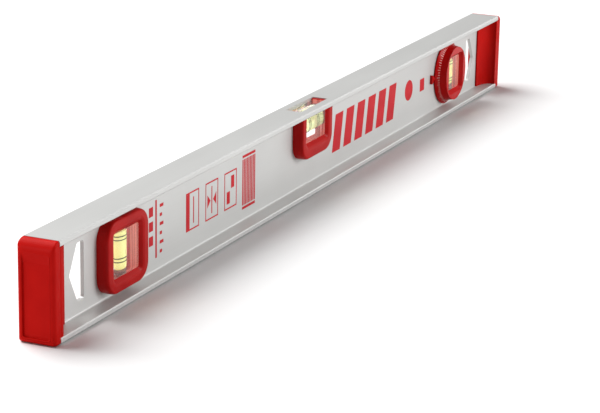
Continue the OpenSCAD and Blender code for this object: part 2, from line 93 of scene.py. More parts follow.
def softened(section, closed=True):
    """A section whose corners become short curves.

    A section point holds four values that set one ring, and last how far its curve reaches.
    """
    rows = []
    count = len(section)
    for i, (*values, reach) in enumerate(section):
        here = Vector(values)
        at_end = not closed and i in (0, count - 1)
        if at_end or not reach:
            rows.append(here)
            continue
        before = Vector(section[i - 1][:4]) - here
        after = Vector(section[(i + 1) % count][:4]) - here
        start = here + before * min(SOFT_LIMIT, reach / before.length)
        end = here + after * min(SOFT_LIMIT, reach / after.length)
        for k in range(SOFT_STEPS + 1):
            t = k / SOFT_STEPS
            rows.append(start * (1 - t) ** 2 + here * 2 * t * (1 - t) + end * t ** 2)
    return rows


# ---- Mesh building ----

def loft(bm, rings, wrap_rings=True, wrap_points=True, filled=False):
    """Quads through rings of points that are equally long."""
    rows = [[bm.verts.new(Vector(point) * MM) for point in ring] for ring in rings]
    count = len(rows[0])
    pairs = list(zip(rows, rows[1:]))
    if wrap_rings:
        pairs.append((rows[-1], rows[0]))
    for near, far in pairs:
        for i in range(count if wrap_points else count - 1):
            j = (i + 1) % count
            bm.faces.new((near[i], near[j], far[j], far[i]))
    if filled:
        bm.faces.new(rows[0])
        bm.faces.new(rows[-1])
    return rows


def prism(bm, outline, low, high):
    """A closed solid from an outline, swept from the low ring's points to the high ring's."""
    loft(bm, [[low(p) for p in outline], [high(p) for p in outline]], wrap_rings=False, filled=True)


def merge(bm, other):
    """Adds the faces of another bmesh, which is then freed."""
    mesh = bpy.data.meshes.new("part")
    other.to_mesh(mesh)
    other.free()
    bm.from_mesh(mesh)
    bpy.data.meshes.remove(mesh)


def bevel_sharp(bm, width, segments=2):
    """Rounds every edge that is sharper than SHARP_ANGLE."""
    bmesh.ops.recalc_face_normals(bm, faces=bm.faces)
    bm.normal_update()
    edges = [e for e in bm.edges if len(e.link_faces) == 2 and e.calc_face_angle(0) > SHARP_ANGLE]
    bmesh.ops.bevel(bm, geom=edges, offset=width * MM, segments=segments, profile=0.5, affect="EDGES")


def paint_pocket_glow(bm, block_low, block_high):
    """Gives the pocket's faces the piece's second material: a painted glow that stands in for the light the
    clear block leads in.
    """
    reach = Vector((PAINTED_GLOW_REACH, PAINTED_GLOW_REACH, PAINTED_GLOW_REACH))
    low, high = (block_low - reach) * MM, (block_high + reach) * MM
    for face in bm.faces:
        centre = face.calc_center_median()
        if all(low[i] < centre[i] < high[i] for i in range(3)):
            face.material_index = 1


def add_piece(name, bm, material, body, stands_for=(), painted_glow_material=None):
    """Turns a bmesh into a piece that rides on a body, with its sharp edges kept crisp."""
    bmesh.ops.recalc_face_normals(bm, faces=bm.faces)
    for face in bm.faces:
        face.smooth = True
    for edge in bm.edges:
        if len(edge.link_faces) == 2 and edge.calc_face_angle(0) > SHARP_ANGLE:
            edge.smooth = False
    mesh = bpy.data.meshes.new(name)
    bm.to_mesh(mesh)
    bm.free()
    mesh.materials.append(material)
    # The second material, where given, is the painted glow on the pocket's faces.
    if painted_glow_material:
        mesh.materials.append(painted_glow_material)
    piece = bpy.data.objects.new(name, mesh)
    bpy.context.collection.objects.link(piece)
    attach(piece, body)
    if stands_for:
        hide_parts(*stands_for)
    return piece


# ---- Materials ----

class Shader:
    """A Principled material with helpers for its procedural inputs."""

    def __init__(self, name):
        self.material = bpy.data.materials.new(name)
        self.material.use_nodes = True
        self.nodes = self.material.node_tree.nodes
        self.links = self.material.node_tree.links
        self.principled = self.nodes["Principled BSDF"]
        self.coords = self.nodes.new("ShaderNodeTexCoord").outputs["Object"]

    def set(self, **values):
        """Sets sockets by name, with _ for each space."""
        for key, value in values.items():
            self.principled.inputs[key.replace("_", " ")].default_value = value
        return self

    def noise(self, scale, detail=3.0, stretch=(1, 1, 1)):
        """Noise over the object, drawn out along an axis whose stretch is small."""
        mapping = self.nodes.new("ShaderNodeMapping")
        mapping.inputs["Scale"].default_value = stretch
        self.links.new(self.coords, mapping.inputs["Vector"])
        texture = self.nodes.new("ShaderNodeTexNoise")
        texture.inputs["Scale"].default_value = scale
        texture.inputs["Detail"].default_value = detail
        self.links.new(mapping.outputs["Vector"], texture.inputs["Vector"])
        return texture.outputs["Fac"]

    def colour_between(self, fac, dark, light, low=0.3, high=0.7):
        """Lets a pattern run the colour, and that of any painted glow, from dark to light."""
        ramp = self.nodes.new("ShaderNodeValToRGB")
        ramp.color_ramp.elements[0].position = low
        ramp.color_ramp.elements[0].color = (*dark, 1)
        ramp.color_ramp.elements[1].position = high
        ramp.color_ramp.elements[1].color = (*light, 1)
        self.links.new(fac, ramp.inputs["Fac"])
        self.links.new(ramp.outputs["Color"], self.principled.inputs["Base Color"])
        self.links.new(ramp.outputs["Color"], self.principled.inputs["Emission Color"])

    def roughness_between(self, fac, low, high):
        """Lets a pattern run the roughness from low to high."""
        spread = self.nodes.new("ShaderNodeMapRange")
        spread.inputs["To Min"].default_value = low
        spread.inputs["To Max"].default_value = high
        self.links.new(fac, spread.inputs["Value"])
        self.links.new(spread.outputs["Result"], self.principled.inputs["Roughness"])

    def bump(self, fac, strength, distance):
        """Lets a pattern raise the surface, by a distance in metres."""
        bump = self.nodes.new("ShaderNodeBump")
        bump.inputs["Strength"].default_value = strength
        bump.inputs["Distance"].default_value = distance
        self.links.new(fac, bump.inputs["Height"])
        self.links.new(bump.outputs["Normal"], self.principled.inputs["Normal"])


def aluminium():
    """Satin anodised extrusion: fine lines along the beam and a faint cloudiness."""
    shader = Shader("anodised_aluminium")
    shader.set(Metallic=0.5)
    cloud = shader.noise(9, 2, (1, 3, 3))
    grain = shader.noise(900, 4, (0.02, 1, 1))
    shader.colour_between(cloud, (0.48, 0.48, 0.47), (0.52, 0.52, 0.51))
    shader.roughness_between(grain, 0.42, 0.56)
    shader.bump(grain, 0.12, 0.00005)
    return shader.material


def moulded(name, dark, light, rough, gloss=0.12, speck=2500, bump_strength=0.12):
    """Moulded plastic: a fine grain from the mould, with colour and gloss that vary a little."""
    shader = Shader(name)
    shader.set(Specular_IOR_Level=gloss)
    flow = shader.noise(60, 2)
    grain = shader.noise(speck, 2)
    shader.colour_between(flow, dark, light)
    shader.roughness_between(grain, rough - 0.05, rough + 0.07)
    shader.bump(grain, bump_strength, 0.00004)
    return shader.material


def painted_pocket_glow():
    """Pocket walls in painted light: a red glow in streaks, standing in for the light that the clear block
    leads in.
    """
    shader = Shader("pocket_red_painted_glow")
    # Painted glow: an emission that lights the pocket walls without a lamp.
    shader.set(Specular_IOR_Level=0.2, Emission_Strength=0.2)
    streaks = shader.noise(520, 1, (0.02, 1, 0.02))
    shader.colour_between(streaks, (0.42, 0.05, 0.04), (0.85, 0.26, 0.22), 0.35, 0.65)
    shader.roughness_between(streaks, 0.3, 0.45)
    return shader.material


def clear(name, tint, ior, through=1.0, low=0.0, high=0.03, glow=0.0):
    """Clear or tinted body: through is the share of light let through, low to high its haze, and glow a
    painted glow in the tint's colour.
    """
    shader = Shader(name)
    shader.set(Base_Color=(*tint, 1), IOR=ior, Transmission_Weight=through)
    shader.set(Emission_Color=(*tint, 1), Emission_Strength=glow)
    haze = shader.noise(300, 2)
    shader.roughness_between(haze, low, high)
    return shader.material


ACRYLIC_IOR = 1.2
FLUID_IOR = 1.18
ALUMINIUM = aluminium()
CAP_RED = moulded("cap_red_plastic", (0.38, 0.003, 0.002), (0.45, 0.005, 0.003), 0.42, gloss=0.04)
HOUSING_RED = moulded("housing_red_plastic", (0.34, 0.003, 0.003), (0.4, 0.006, 0.005), 0.36, gloss=0.08)
# Painted light: the pocket walls glow red in streaks, as if lit through the clear block.
PAINTED_GLOW_RED = painted_pocket_glow()
DIAL_RED = moulded("dial_red_plastic", (0.37, 0.001, 0.001), (0.45, 0.002, 0.002), 0.24, gloss=0.1)
PRINT_RED = moulded("red_print", (0.44, 0.008, 0.015), (0.52, 0.012, 0.02), 0.5, gloss=0.15)
TICK_PINK = moulded("scale_ink", (0.66, 0.36, 0.33), (0.78, 0.46, 0.43), 0.5)
RING_BLACK = moulded("ring_black", (0.012, 0.013, 0.008), (0.02, 0.02, 0.014), 0.5)
PLUG_GREY = moulded("plug_grey", (0.3, 0.2, 0.17), (0.38, 0.24, 0.21), 0.4)
RUBBER_BLACK = moulded("rubber_black", (0.012, 0.012, 0.012), (0.02, 0.02, 0.02), 0.6)
CLEAR_BLOCK = clear("clear_acrylic", (0.97, 0.95, 0.94), ACRYLIC_IOR, through=0.94)
# Painted light: the fluid glows in its own yellow, without a lamp.
FLUID = clear("vial_fluid", (0.89, 0.92, 0.43), FLUID_IOR / ACRYLIC_IOR, through=0.4, glow=0.26)
# Painted shade: a copy of the fluid with less glow, for the lying vial, which gets less light.
SHADED_FLUID = clear(
    "vial_fluid_in_shade", (0.84, 0.93, 0.52), FLUID_IOR / ACRYLIC_IOR, through=0.7, glow=0.15)
AIR_IN_BLOCK = clear("air_over_fluid", (1, 1, 1), 1 / ACRYLIC_IOR)
BUBBLE = clear("bubble", (1, 1, 1), 1 / FLUID_IOR)

for node_name, node_material in {
    "beam": ALUMINIUM, "dial_bearing_ring": DIAL_RED, "dial_friction_ring": RUBBER_BLACK,
}.items():
    node_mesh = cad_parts[node_name].data
    node_mesh.materials.clear()
    node_mesh.materials.append(node_material)


# ---- Beam sizes that the other pieces meet ----

_, beam_high = span("beam")
edge_y = beam_high.y
beam_end = beam_high.x
level_h = beam_high.z
_, bearing_high = span("dial_bearing_ring")
web_y = bearing_high.y
FLANGE_EDGE_T = 3.0
FLANGE_ROOT_T = 3.4


# ---- End caps ----

CAP_TOP_R = 5.5
CAP_EDGE_R = 2.2
CAP_CORNER_R = 1.3
PANEL_DEPTH = 1.3
PANEL_BORDER = 2.7
PANEL_WALL = 0.22      # how far the panel's walls lean in over their depth
PANEL_SOFT = 0.35
PANEL_MARGIN = 0.6     # last ring of the flat end face, from the panel's sides and foot
PANEL_MARGIN_TOP = 0.2
PANEL_FLOOR_IN = 2     # last ring of the panel's floor, in from its edges
PANEL_TOP_GAP = 0.3    # between the panel's top and the start of the cap's top rounding
PANEL_RUN_OUT = 5.0    # length over which the panel's top rises to the end face
PLUG_LEN = 17
PLUG_RIM_W = 2.5
PLUG_TOE_T = 1.1
PLUG_GAP = 0.1
PLUG_ROOT = 0.3        # how far a plug runs into the plate
PLUG_INSET = 0.05      # between a plug's rim and the flange's edge
PLUG_BEVEL = 0.3
COVE_STEPS = 28
CAP_FOOT_IN = 0.25     # step from the beam's outline to the plate's inner ring
CAP_ROUND_STEPS = 14
ALL_BUT = 0.999        # starts the rings just past the place where the top rounding begins


def cap_ring(half_w, low, top, x):
    """Rounded outline of the cap where it passes x."""
    points = rounded_box(half_w, (top - low) / 2, CAP_CORNER_R, 0, (top + low) / 2)
    return [(x, y, z) for y, z in points]


def rounding(x, outer, radius):
    """How far a rounded edge has drawn in where it passes x."""
    past = x - (outer - radius)
    return radius - math.sqrt(max(radius ** 2 - past ** 2, 0)) if past > 0 else 0.0


def cap_plate_rings(outer):
    """Rings of the plate, from the beam's end to the panel's floor."""
    rings = [cap_ring(edge_y - CAP_FOOT_IN, CAP_FOOT_IN, level_h - CAP_FOOT_IN, beam_end)]
    for i in range(CAP_ROUND_STEPS + 1):
        x = outer - CAP_TOP_R * (1 - math.sin(math.radians(90 * i / CAP_ROUND_STEPS))) * ALL_BUT
        side = rounding(x, outer, CAP_EDGE_R)
        rings.append(cap_ring(edge_y - side, side, level_h - rounding(x, outer, CAP_TOP_R), x))
    half_w = edge_y - PANEL_BORDER
    top = level_h - CAP_TOP_R - PANEL_TOP_GAP
    floor_x = outer - PANEL_DEPTH
    floor_top = top - PANEL_RUN_OUT
    panel = softened([
        (half_w + PANEL_MARGIN, PANEL_BORDER - PANEL_MARGIN, top + PANEL_MARGIN_TOP, outer, 0),
        (half_w, PANEL_BORDER, top, outer, PANEL_SOFT),
        (half_w - PANEL_WALL, PANEL_BORDER + PANEL_WALL, floor_top, floor_x, PANEL_SOFT),
        (half_w - PANEL_FLOOR_IN, PANEL_BORDER + PANEL_FLOOR_IN, floor_top - PANEL_FLOOR_IN, floor_x, 0),
    ], closed=False)
    return rings + [cap_ring(*values) for values in panel]


def flange_line(y):
    """Thickness of a flange at a distance from the beam's middle plane."""
    share = (abs(y) - web_y) / (edge_y - web_y)
    return FLANGE_ROOT_T + (FLANGE_EDGE_T - FLANGE_ROOT_T) * share


def cap_plug_outline(side):
    """Outline from above: thin at the toe, with a cove that deepens towards the flush rim."""
    toe_x = beam_end - PLUG_LEN
    reach = PLUG_LEN - PLUG_RIM_W
    front_y = edge_y - PLUG_INSET
    depth = front_y - web_y - PLUG_TOE_T
    outline = [(toe_x, web_y + PLUG_GAP)]
    for i in range(COVE_STEPS + 1):
        angle = math.radians(90 * i / COVE_STEPS)
        outline.append((toe_x + reach * math.sin(angle), front_y - depth * math.cos(angle)))
    root_x = beam_end + PLUG_ROOT
    outline += [(root_x, front_y), (root_x, web_y + PLUG_GAP)]
    return [(x, side * y) for x, y in outline]


def end_cap(node, direction):
    """A cap: plate with a sunk panel, and a coved plug on each side of the web."""
    outer = span(node)[1].x if direction > 0 else -span(node)[0].x
    bm = bmesh.new()
    loft(bm, cap_plate_rings(outer), wrap_rings=False, filled=True)
    plugs = bmesh.new()
    for side in (FRONT, REAR):
        prism(
            plugs, cap_plug_outline(side),
            lambda p: (p[0], p[1], flange_line(p[1]) + PLUG_GAP),
            lambda p: (p[0], p[1], level_h - flange_line(p[1]) - PLUG_GAP),
        )
    bevel_sharp(plugs, PLUG_BEVEL)
    merge(bm, plugs)
    if direction < 0:
        bmesh.ops.scale(bm, vec=(-1, 1, 1), verts=bm.verts)
    add_piece(node + "_moulding", bm, CAP_RED, LEVEL, (node,))


end_cap("right_end_cap", 1)
end_cap("left_end_cap", -1)


# ---- Vial housings ----

HOUSING_R = 10.0
EDGE_SOFT = 2.6
WINDOW_R = 1.1
BEVEL_W = 1.9
LEAD_IN_W = 1.4
LEAD_IN_D = 0.35
COLLAR_WALL = 1.7
POCKET_GAP = 0.1
CRISP = 0.1            # softness of the corners that stay nearly sharp
FACE_SOFT = 0.35
BLOCK_SOFT = 0.15
WINDOW_IN_X = 1.7      # how far the foot of the window's bevel lies inside the block's edge
WINDOW_IN_Z = 2.5
PLUMB_BLOCK_R = 1.5
MIN_CORNER_R = 0.3


def housing_section(outer, window, block, front_y, block_y):
    """Section of a housing as (half width, half height or low edge, corner radius, depth, softness).

    outer, window and block are (half width, height value, corner radius); the height value
    grows with the half width, so a margin is added to both.
    """
    def at(shape, margin, depth, soft):
        half_w, height, radius = shape
        return (half_w + margin, height + margin, max(radius + margin, MIN_CORNER_R), depth, soft)

    return [
        at(outer, 0, web_y, CRISP),
        at(outer, 0, front_y, EDGE_SOFT),
        at(window, LEAD_IN_W, front_y, FACE_SOFT),
        at(window, 0, front_y - LEAD_IN_D, FACE_SOFT),
        at(window, -BEVEL_W, block_y, BLOCK_SOFT),
        at(block, POCKET_GAP, block_y, CRISP),
        at(block, POCKET_GAP, SEAT_W, CRISP),
        at(block, POCKET_GAP + COLLAR_WALL, SEAT_W, CRISP),
        at(block, POCKET_GAP + COLLAR_WALL, web_y, CRISP),
    ]


def plumb_housing(node, side):
    """One half of the plumb vial's housing, with its window and the collar round the clear block."""
    low, high = span(node)
    centre = (low + high) / 2
    block_low, block_high = span("plumb_vial_block")
    outer = ((high.x - low.x) / 2, (high.z - low.z) / 2, HOUSING_R)
    block_half = (block_high - block_low) / 2
    block = (block_half.x, block_half.z, PLUMB_BLOCK_R)
    window = (block_half.x - WINDOW_IN_X + BEVEL_W, block_half.z - WINDOW_IN_Z + BEVEL_W, WINDOW_R + BEVEL_W)
    section = housing_section(outer, window, block, max(abs(low.y), abs(high.y)), block_half.y)
    rings = []
    for half_w, half_h, radius, depth in softened(section):
        outline = rounded_box(half_w, half_h, radius, centre.x, centre.z)
        rings.append([(x, side * depth, z) for x, z in outline])
    bm = bmesh.new()
    loft(bm, rings)
    paint_pocket_glow(bm, block_low, block_high)
    add_piece(node + "_moulding", bm, HOUSING_RED, LEVEL, (node,), PAINTED_GLOW_RED)


plumb_housing("plumb_front_frame", FRONT)
plumb_housing("plumb_rear_frame", REAR)

CENTRE_R = 9.5
CENTRE_STRIP = 5.5     # width of the plate beside its window
CENTRE_SILL = 7.5      # height of the plate below its window
CENTRE_BLOCK_R = 0.4
NECK_HALF_W = 4.45
LIP_T = 2.1
LIP_ROOT = 2.0         # how far a lip runs down into the plate
LIP_BEVEL = 0.25
ROOF_GAP = 1.15


def centre_housing(node, side):
    """The level vial's housing: a U-shaped plate, and end walls that rise through the flange."""
    low, high = span(node)
    block_low, block_high = span("centre_vial_block")
    half_w = high.x
    plate_top = level_h - FLANGE_ROOT_T - ROOF_GAP
    outer = (half_w, -low.z, CENTRE_R)
    window = (half_w - CENTRE_STRIP, -(low.z + CENTRE_SILL), WINDOW_R + BEVEL_W)
    block = (block_high.x, -block_low.z, CENTRE_BLOCK_R)
    front_y = max(abs(low.y), abs(high.y))
    section = housing_section(outer, window, block, front_y, block_high.y)
    rings = []
    for half, minus_low, radius, depth in softened(section):
        path = u_path(half, -minus_low, radius, plate_top)
        rings.append([(x, side * depth, z) for x, z in path])
    bm = bmesh.new()
    rows = loft(bm, rings, wrap_points=False)
    bm.faces.new([row[0] for row in rows])
    bm.faces.new([row[-1] for row in rows])
    lip_outer = block_high.x + POCKET_GAP + LIP_T
    lips = bmesh.new()
    for end in (-1, 1):
        outline = [(end * (lip_outer - LIP_T), SEAT_W), (end * lip_outer, SEAT_W),
                   (end * lip_outer, NECK_HALF_W), (end * (lip_outer - LIP_T), NECK_HALF_W)]
        prism(
            lips, outline,
            lambda p: (p[0], side * p[1], plate_top - LIP_ROOT),
            lambda p: (p[0], side * p[1], high.z),
        )
    bevel_sharp(lips, LIP_BEVEL)
    merge(bm, lips)
    paint_pocket_glow(bm, block_low, block_high)
    add_piece(node + "_moulding", bm, HOUSING_RED, LEVEL, (node,), PAINTED_GLOW_RED)


centre_housing("centre_front_frame", FRONT)
centre_housing("centre_rear_frame", REAR)


# ---- Dial ----

DIAL_SIDES = 144
DIAL_BACK = 0.35            # gap between the shell's back and the web
RIM_T = 0.8                 # the straight edge of the rim
RIM_SOFT = 0.4
BAND_W = 2.6                # from the rim to the raised middle
BAND_EDGE_IN = 0.4          # the foot of the band, in from the rim
BAND_FOOT_Y = 1.2           # heights of the band's foot and top over the shell's back
BAND_TOP_Y = 3.1
BAND_SOFT = 0.12
BOSS_LEAN = 0.8
BOSS_SOFT = 1.1
HUB_STEP = 0.6              # how much slimmer the hub is than the raised middle
GROOVE_D = 0.5              # depth of the groove that holds the friction ring
GROOVE_END = 0.52           # its wall, from the middle plane
DIAL_WINDOW_MARGIN = 1.0    # how far the window's edge lies outside the block's edge
DIAL_WINDOW_R = 4.3
DIAL_WINDOW_SLOPE = 2.3
DIAL_WINDOW_SOFT = 0.25
DIAL_BLOCK_R = 2.0
FACE_IN = 1.2               # where the face turns from circles to rounded squares, from the window's edge
FACE_CORNER_R = 5.5
FACE_TOWARDS = 4.5          # a point on the face that the raised middle's rounding runs towards


def square_radius(angle, half, corner):
    """Distance from the middle of a rounded square to its outline at an angle."""
    turned = (angle + math.pi / 4) % (math.pi / 2) - math.pi / 4
    reach = half / math.cos(turned)
    inner = half - corner
    if abs(math.tan(turned)) * half <= inner:
        return reach
    across = inner * (math.cos(turned) + abs(math.sin(turned)))
    return across + math.sqrt(max(across ** 2 - 2 * inner ** 2 + corner ** 2, 0))


def dial_ring(centre, radius, half, corner, depth, side):
    """A ring of the dial: a circle where radius is given, or else a rounded square."""
    ring = []
    for i in range(DIAL_SIDES):
        angle = 2 * math.pi * i / DIAL_SIDES
        reach = radius if radius else square_radius(angle, half, corner)
        ring.append((centre.x + reach * math.cos(angle), side * depth, centre.z + reach * math.sin(angle)))
    return ring


def dial_shell(node, side):
    """One half of the dial: hub, rim, sloping band and raised middle, with a window on the clear block."""
    low, high = span(node)
    centre = (low + high) / 2
    rim_r = (high.x - low.x) / 2
    face_y = max(abs(low.y), abs(high.y))
    block_low, block_high = span("dial_vial_block")
    block_half = (block_high.x - block_low.x) / 2
    block_y = block_high.y
    back_y = web_y + DIAL_BACK
    boss_r = rim_r - BAND_W
    hub_r = boss_r - HUB_STEP
    foot_r = rim_r - BAND_EDGE_IN
    foot_y = back_y + BAND_FOOT_Y
    top_y = back_y + BAND_TOP_Y
    window_half = block_half + DIAL_WINDOW_MARGIN
    pocket_half = block_half + POCKET_GAP
    circles = [
        (hub_r, GROOVE_END, 0), (hub_r, back_y, CRISP), (rim_r, back_y, RIM_SOFT),
        (rim_r, back_y + RIM_T, BAND_SOFT), (foot_r, foot_y, BAND_SOFT), (boss_r, top_y, CRISP),
        (boss_r - BOSS_LEAN, face_y, BOSS_SOFT), (window_half + FACE_TOWARDS, face_y, 0),
    ]
    squares = [
        (window_half + FACE_IN, FACE_CORNER_R, face_y, 0),
        (window_half, DIAL_WINDOW_R, face_y, DIAL_WINDOW_SOFT),
        (window_half - DIAL_WINDOW_SLOPE, DIAL_BLOCK_R, block_y, CRISP),
        (pocket_half, DIAL_BLOCK_R, block_y, CRISP), (pocket_half, DIAL_BLOCK_R, SEAT_W, 0.0),
    ]
    rings = []
    circle_rows = softened([(radius, 0, 0, y, soft) for radius, y, soft in circles], closed=False)
    for radius, _, _, depth in circle_rows[:-1]:
        rings.append(dial_ring(centre, radius, 0, 0, depth, side))
    square_rows = softened([(half, corner, 0, y, soft) for half, corner, y, soft in squares], closed=False)
    for half, corner, _, depth in square_rows:
        rings.append(dial_ring(centre, 0, half, corner, depth, side))
    for depth in (SEAT_W, GROOVE_END):
        rings.append(dial_ring(centre, hub_r - GROOVE_D, 0, 0, depth, side))
    bm = bmesh.new()
    loft(bm, rings)
    paint_pocket_glow(bm, block_low, block_high)
    add_piece(node + "_moulding", bm, DIAL_RED, DIAL, (node,), PAINTED_GLOW_RED)
    dial_scale(node + "_scale", centre, side, foot_r, boss_r, foot_y, top_y)


STROKES = 72
LONG_EVERY = 3
WIDE_EVERY = 9
STROKE_HALF_W = 0.17
WIDE_STROKE_HALF_W = 0.22
STROKE_LIFT = 0.06
LONG_FROM = 0.3        # shares of the band's slope at which strokes start and end
SHORT_FROM = 0.5
STROKES_TO = 0.95


def dial_scale(name, centre, side, foot_r, top_r, foot_y, top_y):
    """Raised strokes up the sloping band: one every 5 degrees, longer every 15, wider every 45."""
    bm = bmesh.new()
    slope = Vector((top_r - foot_r, top_y - foot_y))
    out = Vector((slope.y, -slope.x)).normalized() * STROKE_LIFT
    for i in range(STROKES):
        angle = 2 * math.pi * i / STROKES
        along = Vector((math.cos(angle), math.sin(angle)))
        across = Vector((-math.sin(angle), math.cos(angle)))
        half_w = STROKE_HALF_W if i % WIDE_EVERY else WIDE_STROKE_HALF_W
        start = SHORT_FROM if i % LONG_EVERY else LONG_FROM
        corners = []
        for share, sign in ((start, -1), (start, 1), (STROKES_TO, 1), (STROKES_TO, -1)):
            flat = along * (foot_r + slope.x * share) + across * sign * half_w
            corners.append((flat.x, flat.y, foot_y + slope.y * share))

        def at(corner, lift):
            x, z, y = corner
            shift = along * out.x * lift
            return (centre.x + x + shift.x, side * (y + out.y * lift), centre.z + z + shift.y)

        prism(bm, corners, lambda c: at(c, -0.5), lambda c: at(c, 1.0))
    add_piece(name, bm, TICK_PINK, DIAL)


dial_shell("dial_front_shell", FRONT)
dial_shell("dial_rear_shell", REAR)


# ---- Vials ----

BORE_SIDES = 64
SEATED = 0.14          # how far a clear block reaches past its CAD size: just into the pocket's walls
BLOCK_EDGE_SOFT = 0.2
BLOCK_FACE_IN = 1      # first ring of a flat face, in from the block's edge
RING_INNER = 4.7       # places of the marking rings, each side of the bore's middle
RING_OUTER = 6.5
RING_W = 0.5
RING_T_IN = 0.03       # inner and outer face of a ring, over the bore's radius
RING_T_OUT = 0.2
RING_EDGE = 0.05
BORE_CLEAR = 0.12      # how far what fills the bore stays from its wall at the ends
BARREL = 0.12          # how much wider the fluid is at the middle than at its ends
FLUID_CLEAR = 0.05     # at the ends of the fluid
FLUID_FOOT_R = 1.2
FLUID_EDGE_R = 0.1
AIR_EDGE_R = 0.4
AIR_ROOF = 2.0         # clear material over the air
ROUND_STEPS = 6
BARREL_STEPS = 12
SEAL_GROOVE_D = 0.6    # depth of the groove round a sealing plug


def turned_about(axis_point, along, radii):
    """Rings of a body of revolution: radii is a list of (distance along the axis, radius)."""
    def place(distance, radius, angle):
        wide, deep = radius * math.cos(angle), radius * math.sin(angle)
        if along == "z":
            return (axis_point.x + wide, deep, axis_point.z + distance)
        return (axis_point.x + distance, wide, axis_point.z + deep)

    return [[place(distance, radius, 2 * math.pi * i / BORE_SIDES) for i in range(BORE_SIDES)]
            for distance, radius in radii]


def turned_solid(name, point, along, radii, material, body, stands_for=()):
    """A piece that is a solid of revolution."""
    bm = bmesh.new()
    loft(bm, turned_about(point, along, radii), wrap_rings=False, filled=True)
    return add_piece(name, bm, material, body, stands_for)


def rounded_ends(low, high, radius, edge_low, edge_high, middle_gain):
    """Profile of a barrel with round edges at its ends, as (distance along the axis, radius)."""
    def corner(edge, i):
        angle = math.radians(90 * i / ROUND_STEPS)
        return edge * (1 - math.cos(angle)), edge * (1 - math.sin(angle))

    profile = []
    for i in range(ROUND_STEPS + 1):
        along, inward = corner(edge_low, i)
        profile.append((low + along, radius - inward))
    for i in range(1, BARREL_STEPS):
        t = i / BARREL_STEPS
        profile.append((low + edge_low + t * (high - edge_high - low - edge_low),
                        radius + middle_gain * (1 - (2 * t - 1) ** 2)))
    for i in range(ROUND_STEPS, -1, -1):
        along, inward = corner(edge_high, i)
        profile.append((high - along, radius - inward))
    return profile


def block_rings(half, radius, centre):
    """Rings of a clear block from back to front, with softened edges round its flat faces."""
    inner_w, inner_h = half.x - BLOCK_FACE_IN, half.z - BLOCK_FACE_IN
    section = softened([
        (inner_w, inner_h, radius, -half.y, 0), (half.x, half.z, radius, -half.y, BLOCK_EDGE_SOFT),
        (half.x, half.z, radius, half.y, BLOCK_EDGE_SOFT), (inner_w, inner_h, radius, half.y, 0),
    ], closed=False)
    return [[(x, y, z) for x, z in rounded_box(w, h, r, centre.x, centre.z)] for w, h, r, y in section]


def vial_markings(name, point, along, radius, body, stands_for):
    """The pairs of black rings each side of the middle of the bore."""
    bm = bmesh.new()
    for offset in (-RING_OUTER, -RING_INNER, RING_INNER, RING_OUTER):
        low, high = offset - RING_W / 2, offset + RING_W / 2
        inner, outer = radius + RING_T_IN, radius + RING_T_OUT
        loft(bm, turned_about(point, along, [
            (low, inner), (low, outer - RING_EDGE), (low + RING_EDGE, outer),
            (high - RING_EDGE, outer), (high, outer - RING_EDGE), (high, inner)]))
    add_piece(name, bm, RING_BLACK, body, stands_for)


def upright_vial(unit, body, corner):
    """Block, fluid, air, rings and plug of a vial that stands in its housing."""
    block_low, block_high = span(unit + "_vial_block")
    fluid_low, fluid_high = span(unit + "_vial_fluid")
    plug_low, plug_high = span(unit + "_vial_plug")
    centre = (block_low + block_high) / 2
    half = (block_high - block_low) / 2
    bm = bmesh.new()
    seated = half + Vector((SEATED, SEATED / 4, SEATED))
    loft(bm, block_rings(seated, corner, centre), wrap_rings=False, filled=True)
    add_piece(unit + "_block_clear", bm, CLEAR_BLOCK, body, (unit + "_vial_block",))
    bore_r = (fluid_high.x - fluid_low.x) / 2
    end_r = bore_r - BORE_CLEAR
    base = Vector((centre.x, 0, 0))
    air_top = block_high.z - AIR_ROOF
    fluid = rounded_ends(
        fluid_low.z + FLUID_CLEAR, fluid_high.z - FLUID_CLEAR, end_r, FLUID_FOOT_R, FLUID_EDGE_R, BARREL)
    turned_solid(unit + "_fluid", base, "z", fluid, FLUID, body, (unit + "_vial_fluid",))
    air = rounded_ends(fluid_high.z, air_top, end_r, FLUID_EDGE_R, AIR_EDGE_R, 0)
    turned_solid(unit + "_air", base, "z", air, AIR_IN_BLOCK, body)
    marks_at = Vector((centre.x, 0, (fluid_low.z + air_top) / 2))
    vial_markings(unit + "_rings", marks_at, "z", bore_r, body, (unit + "_vial_rings",))
    groove_r = end_r - SEAL_GROOVE_D
    # From the foot up: a chamfer, the body, the groove and a chamfered top.
    plug = [
        (plug_low.z, end_r - 0.3), (plug_low.z + 0.3, end_r), (plug_high.z - 2.2, end_r),
        (plug_high.z - 2.0, groove_r), (plug_high.z - 1.4, groove_r), (plug_high.z - 1.2, end_r),
        (plug_high.z - 0.5, end_r), (plug_high.z - 0.1, end_r - 0.4), (plug_high.z - 0.1, 1.0),
    ]
    turned_solid(unit + "_plug", base, "z", plug, PLUG_GREY, body, (unit + "_vial_plug",))


upright_vial("plumb", LEVEL, PLUMB_BLOCK_R)
upright_vial("dial", DIAL, DIAL_BLOCK_R)

SHOULDER_GAP = 0.15    # between the block's shoulder and the flange over it
CENTRE_BEVEL = 0.35
LYING_FOOT_R = 0.8
LYING_EDGE_R = 0.3
BUBBLE_R = 2.4
BUBBLE_HALF_L = 4.5
BUBBLE_CLEAR = 0.1     # between the bubble and the top of the bore
BUBBLE_STEPS = 24
BUBBLE_BLUNTNESS = 0.6
BUBBLE_TIP_R = 0.02


